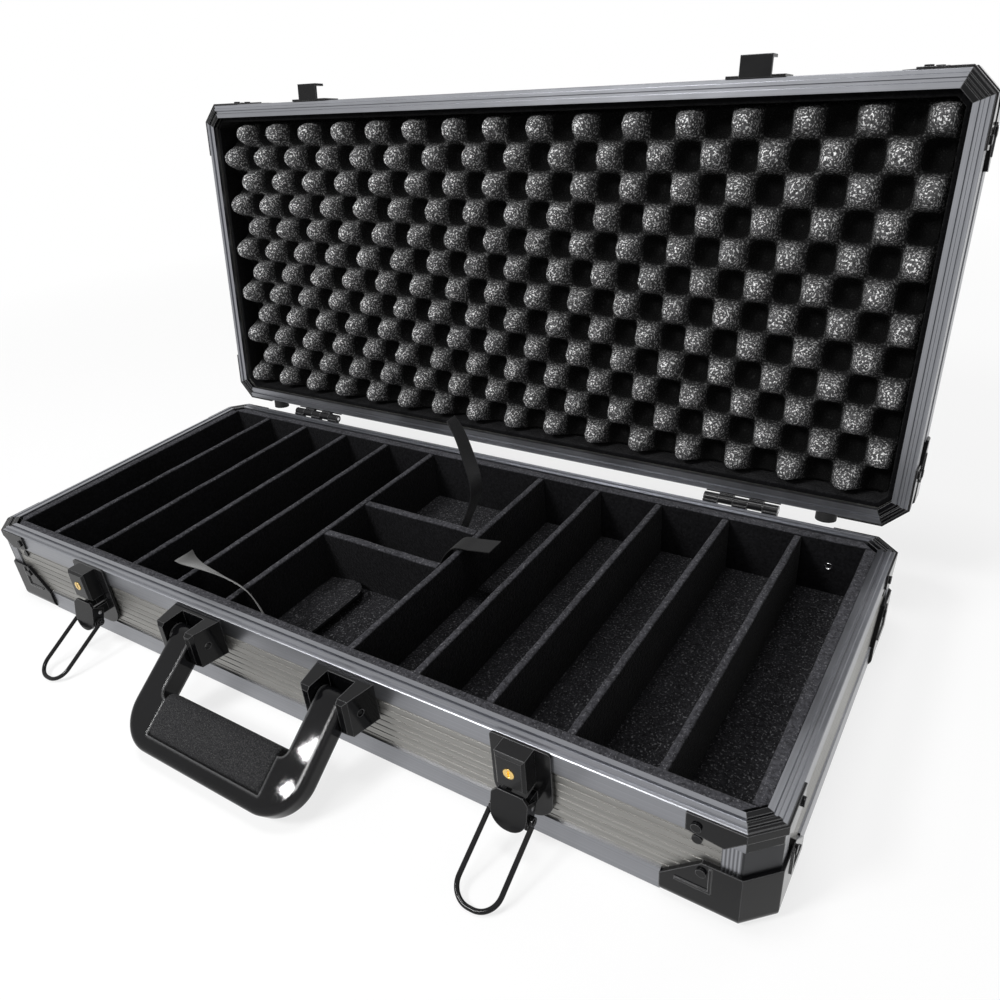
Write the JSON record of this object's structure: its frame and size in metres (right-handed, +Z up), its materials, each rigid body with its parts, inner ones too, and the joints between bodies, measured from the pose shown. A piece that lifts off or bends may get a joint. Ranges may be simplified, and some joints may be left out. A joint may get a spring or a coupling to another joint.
{
  "type": "poker chip case",
  "caption": "Hinged aluminium carrying case with a felt tray of chip slots, an egg-crate foam lid, two draw latches with key locks and a swinging handle.",
  "frame": {"origin": "middle of the plane that the base stands on", "axes": "+X to the right along the long front, +Y towards the hinges, +Z up"},
  "size_m": [0.5654, 0.3804, 0.3134],
  "materials": {
    "ribbed_aluminium": "brushed, fine lengthwise grooves",
    "rail_aluminium": "satin anodised extrusion",
    "black_fitting": "smooth gloss black",
    "latch_black": "black plated, semi-gloss",
    "bright_steel": "polished",
    "lock_brass": "polished",
    "felt": "short black felt",
    "foam": "open-cell charcoal foam",
    "light_ribbon": "grey woven tape",
    "dark_ribbon": "dark grey woven tape",
    "black_ribbon": "black satin tape",
    "grip_foam": "matt foam rubber",
    "foot_rubber": "matt"
  },
  "bodies": {
    "base": {"base_floor": "ribbed_aluminium", "base_board_front": "ribbed_aluminium", "base_board_back": "ribbed_aluminium", "base_board_left": "ribbed_aluminium", "base_board_right": "ribbed_aluminium", "base_edge_rails": "rail_aluminium", "base_rim_rails": "rail_aluminium", "base_corner_posts": "ribbed_aluminium", "base_rim_corners": "black_fitting", "base_corner_guards": "black_fitting", "base_rivets": "bright_steel", "tray_floor": "felt", "tray_liner": "felt", "chip_dividers": "felt", "bay_dividers": "felt", "felt_flap": "felt", "light_ribbon": "light_ribbon", "dark_ribbon": "dark_ribbon", "black_ribbon": "black_ribbon", "left_latch_plate": "latch_black", "right_latch_plate": "latch_black", "left_latch_housing": "latch_black", "right_latch_housing": "latch_black", "lever_pins": "bright_steel", "left_handle_bracket": "black_fitting", "right_handle_bracket": "black_fitting", "handle_pins": "bright_steel", "base_hinge_leaves": "bright_steel", "hinge_pins": "bright_steel", "base_feet": "foot_rubber"},
    "lid": {"lid_panel": "ribbed_aluminium", "lid_board_front": "ribbed_aluminium", "lid_board_back": "ribbed_aluminium", "lid_board_left": "ribbed_aluminium", "lid_board_right": "ribbed_aluminium", "lid_edge_rails": "rail_aluminium", "lid_rim_rails": "rail_aluminium", "lid_corner_posts": "ribbed_aluminium", "lid_rim_corners": "black_fitting", "lid_corner_guards": "black_fitting", "lid_rivets": "bright_steel", "lid_liner": "felt", "lid_foam": "foam", "foam_peaks": "foam", "lid_hinge_leaves": "bright_steel", "lid_feet": "foot_rubber", "strikes": "latch_black"},
    "handle": {"handle": "black_fitting", "handle_grip": "grip_foam"},
    "left_lever": {"left_latch_lever": "latch_black"},
    "right_lever": {"right_latch_lever": "latch_black"},
    "left_bail": {"left_latch_bail": "latch_black"},
    "right_bail": {"right_latch_bail": "latch_black"},
    "left_lock": {"left_lock_plug": "lock_brass"},
    "right_lock": {"right_lock_plug": "lock_brass"}
  },
  "joints": [
    {"name": "lid_hinge", "type": "hinge", "parent": "base", "child": "lid", "pos_m": [0, 0.124, 0.0604], "axis": [-1, 0, 0], "range_deg": [-97.5, 0], "deforming": ["black_ribbon", "dark_ribbon", "light_ribbon"]},
    {"name": "handle_swing", "type": "hinge", "parent": "base", "child": "handle", "pos_m": [0, -0.1305, 0.04475], "axis": [-1, 0, 0], "range_deg": [0, 75]},
    {"name": "left_lever_pull", "type": "hinge", "parent": "base", "child": "left_lever", "pos_m": [-0.1645, -0.1291, 0.029], "axis": [1, 0, 0], "range_deg": [-65, 0]},
    {"name": "left_bail_swing", "type": "hinge", "parent": "left_lever", "child": "left_bail", "pos_m": [-0.1645, -0.13172, 0.02347], "axis": [-1, 0, 0], "range_deg": [0, 123.8]},
    {"name": "left_lock_turn", "type": "hinge", "parent": "base", "child": "left_lock", "pos_m": [-0.1645, -0.128, 0.049], "axis": [0, -1, 0], "range_deg": [0, 90]},
    {"name": "right_lever_pull", "type": "hinge", "parent": "base", "child": "right_lever", "pos_m": [0.1645, -0.1291, 0.029], "axis": [1, 0, 0], "range_deg": [-65, 0]},
    {"name": "right_bail_swing", "type": "hinge", "parent": "right_lever", "child": "right_bail", "pos_m": [0.1645, -0.13172, 0.02347], "axis": [-1, 0, 0], "range_deg": [0, 123.8]},
    {"name": "right_lock_turn", "type": "hinge", "parent": "base", "child": "right_lock", "pos_m": [0.1645, -0.128, 0.049], "axis": [0, -1, 0], "range_deg": [0, 90]}
  ]
}
